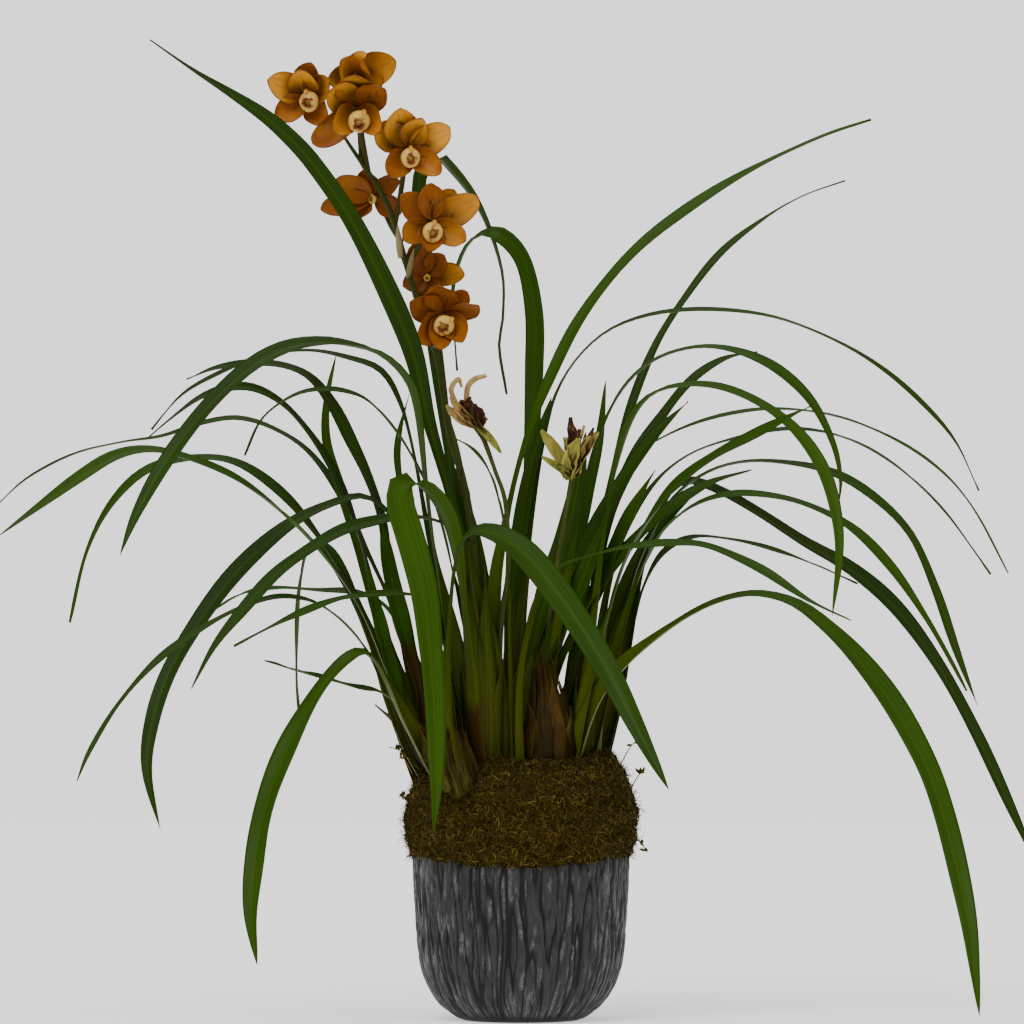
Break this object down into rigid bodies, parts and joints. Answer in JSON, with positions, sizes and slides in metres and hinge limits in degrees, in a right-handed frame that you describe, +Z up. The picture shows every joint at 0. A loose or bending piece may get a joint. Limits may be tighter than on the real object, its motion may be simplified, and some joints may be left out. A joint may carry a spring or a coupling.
{
  "type": "potted orchid",
  "caption": "Potted cymbidium-type orchid with long arching strap leaves, one upright flower spike and mossy top in a rounded ridged pot that stands on its flat base.",
  "frame": {"origin": "centre of the pot's flat underside", "axes": "+Z up, -Y towards the front where the flowers face, +X to the right seen from the front"},
  "size_m": [0.9046, 0.4512, 0.8229],
  "materials": {
    "pot": "dark slate grey glaze over uneven upright ridges, semi-gloss",
    "potting_mix": "chopped bark, rough",
    "moss": "dry fibrous moss, matt",
    "green_sheath": "leaf sheath, satin",
    "brown_sheath": "dry fibrous sheath, matt",
    "spike": "fresh stem, satin",
    "withered": "dried petals, matt",
    "petal": "waxy petal, satin",
    "leaf": "leathery strap leaf, satin"
  },
  "bodies": {
    "root": {"pot": "pot", "potting_mix": "potting_mix", "moss": "moss", "shoot_middle_left": "green_sheath", "shoot_middle": "green_sheath", "shoot_right": "green_sheath", "shoot_back_right": "green_sheath", "shoot_front_left": "brown_sheath", "shoot_old": "brown_sheath", "shoot_back_left": "brown_sheath", "flower_spike": "spike", "withered_flower_left": "withered", "withered_flower_right": "withered", "flower_1": "petal", "flower_2": "petal", "flower_3": "petal", "flower_4": "petal", "flower_5": "petal", "flower_6": "petal", "flower_7": "petal", "leaf_01": "leaf", "leaf_02": "leaf", "leaf_03": "leaf", "leaf_04": "leaf", "leaf_05": "leaf", "leaf_06": "leaf", "leaf_07": "leaf", "leaf_08": "leaf", "leaf_09": "leaf", "leaf_10": "leaf", "leaf_11": "leaf", "leaf_12": "leaf", "leaf_13": "leaf", "leaf_14": "leaf", "leaf_15": "leaf", "leaf_16": "leaf", "leaf_17": "leaf", "leaf_18": "leaf", "leaf_19": "leaf", "leaf_20": "leaf", "leaf_21": "leaf", "leaf_22": "leaf", "leaf_23": "leaf", "leaf_24": "leaf", "leaf_25": "leaf", "leaf_26": "leaf", "leaf_27": "leaf", "leaf_28": "leaf", "leaf_29": "leaf", "leaf_30": "leaf", "leaf_31": "leaf", "leaf_32": "leaf", "leaf_33": "leaf", "leaf_34": "leaf", "leaf_35": "leaf", "leaf_36": "leaf", "leaf_37": "leaf", "leaf_38": "leaf", "leaf_39": "leaf", "leaf_40": "leaf"}
  },
  "joints": []
}
